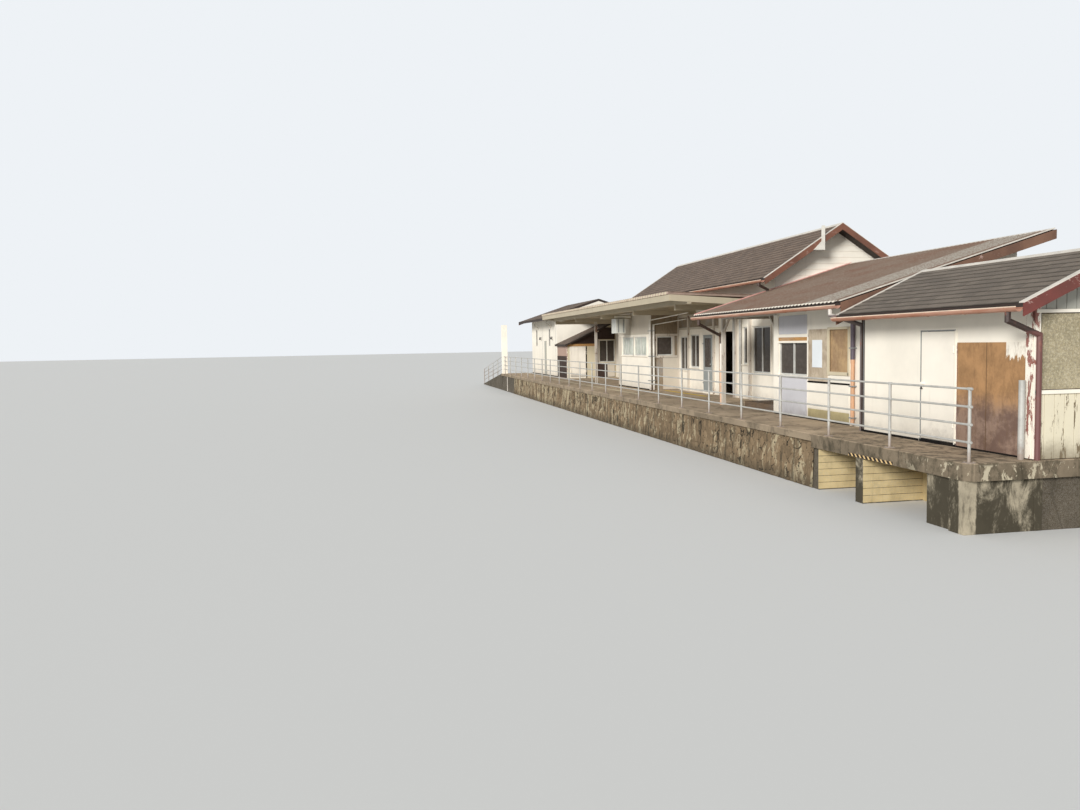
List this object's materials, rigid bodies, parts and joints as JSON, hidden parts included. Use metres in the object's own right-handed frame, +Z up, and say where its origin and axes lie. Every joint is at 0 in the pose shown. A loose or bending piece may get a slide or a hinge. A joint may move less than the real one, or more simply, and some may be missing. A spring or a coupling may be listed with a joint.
{
  "type": "railway station building",
  "caption": "Country railway station: small gabled wings, an open waiting area, a main hall with a platform canopy and a lean-to shed, on its railed platform.",
  "frame": {"origin": "centre of the footprint, at the ground level at the foot of the platform", "axes": "+X along the building towards its near end in the picture, -Y towards the tracks, +Z up"},
  "size_m": [27.34, 3.814, 3.118],
  "materials": {
    "beige_paint": "matte",
    "brick_paint": "matte",
    "brown_panel": "matte",
    "brown_slate": "matte",
    "cap_metal": "matte",
    "clapboard": "matte",
    "concrete": "rough",
    "corrugated_sheet": "matte",
    "cream_paint": "matte",
    "dark_concrete": "rough",
    "door_paint": "satin",
    "form_board_concrete": "rough",
    "frame_paint": "satin",
    "grey_paint": "satin",
    "gutter_copper": "satin",
    "lamp_plastic": "matte",
    "maroon_paint": "matte",
    "mossy_concrete": "rough",
    "panel_board": "matte",
    "pipe_paint": "satin",
    "railing_paint": "satin",
    "rubble": "rough",
    "slate": "matte",
    "timber": "matte",
    "white_paint": "matte",
    "window_aluminium": "satin",
    "window_glass": "gloss"
  },
  "bodies": {
    "station": {"annex_gable_walls": "white_paint", "annex_roof": "brown_slate", "back_walls": "white_paint", "bargeboards": "maroon_paint", "bay_front_wall": "white_paint", "bay_side_walls": "brown_panel", "canopy_beam": "beige_paint", "canopy_cross_beams": "beige_paint", "canopy_deck": "corrugated_sheet", "canopy_end_fascias": "beige_paint", "canopy_fascia": "beige_paint", "door_heads": "frame_paint", "door_jambs": "frame_paint", "downpipes": "pipe_paint", "eave_brackets": "white_paint", "far_long_walls": "white_paint", "far_pillar": "white_paint", "far_ramp": "dark_concrete", "gable_mast": "white_paint", "gutters": "gutter_copper", "hall_front_wall": "white_paint", "hall_gable_walls": "clapboard", "hall_roof": "brown_slate", "light_box": "lamp_plastic", "link_roof": "brown_slate", "lintels": "white_paint", "metal_caps": "cap_metal", "middle_end_walls": "white_paint", "middle_front_wall": "white_paint", "middle_roof": "brown_slate", "near_front_wall": "white_paint", "near_gable_walls": "panel_board", "near_roof": "slate", "near_slab": "concrete", "platform_core": "concrete", "platform_deck": "concrete", "platform_piers": "mossy_concrete", "railing": "railing_paint", "ramp_railing": "railing_paint", "recess_wall": "form_board_concrete", "round_posts": "white_paint", "shed_end_wall": "cream_paint", "shed_front_wall": "brick_paint", "shed_gable": "brown_panel", "shed_roof": "brown_slate", "stone_wall": "rubble", "timber_columns": "timber", "waiting_beams": "timber", "waiting_braces": "timber", "waiting_step": "timber", "wall_panels": "beige_paint", "window_frames": "window_aluminium", "window_glass": "window_glass"},
    "near_door": {"near_door": "door_paint"},
    "office_door": {"office_door": "grey_paint", "office_door_glass": "window_glass"},
    "shed_front_door": {"shed_front_door": "door_paint"},
    "shed_back_door": {"shed_back_door": "door_paint"}
  },
  "joints": [
    {"name": "near_door_hinge", "type": "hinge", "parent": "station", "child": "near_door", "pos_m": [12.6475, -1.3445, 1.03], "axis": [0, 0, 1], "range_deg": [0, 110]},
    {"name": "office_door_hinge", "type": "hinge", "parent": "station", "child": "office_door", "pos_m": [4.3525, -0.2945, 1.06], "axis": [0, 0, -1], "range_deg": [0, 110]},
    {"name": "shed_front_door_hinge", "type": "hinge", "parent": "station", "child": "shed_front_door", "pos_m": [-3.6375, -0.8445, 0.96], "axis": [0, 0, -1], "range_deg": [0, 110]},
    {"name": "shed_back_door_hinge", "type": "hinge", "parent": "station", "child": "shed_back_door", "pos_m": [-3.6375, -0.4495, 0.96], "axis": [0, 0, 1], "range_deg": [0, 110]}
  ]
}
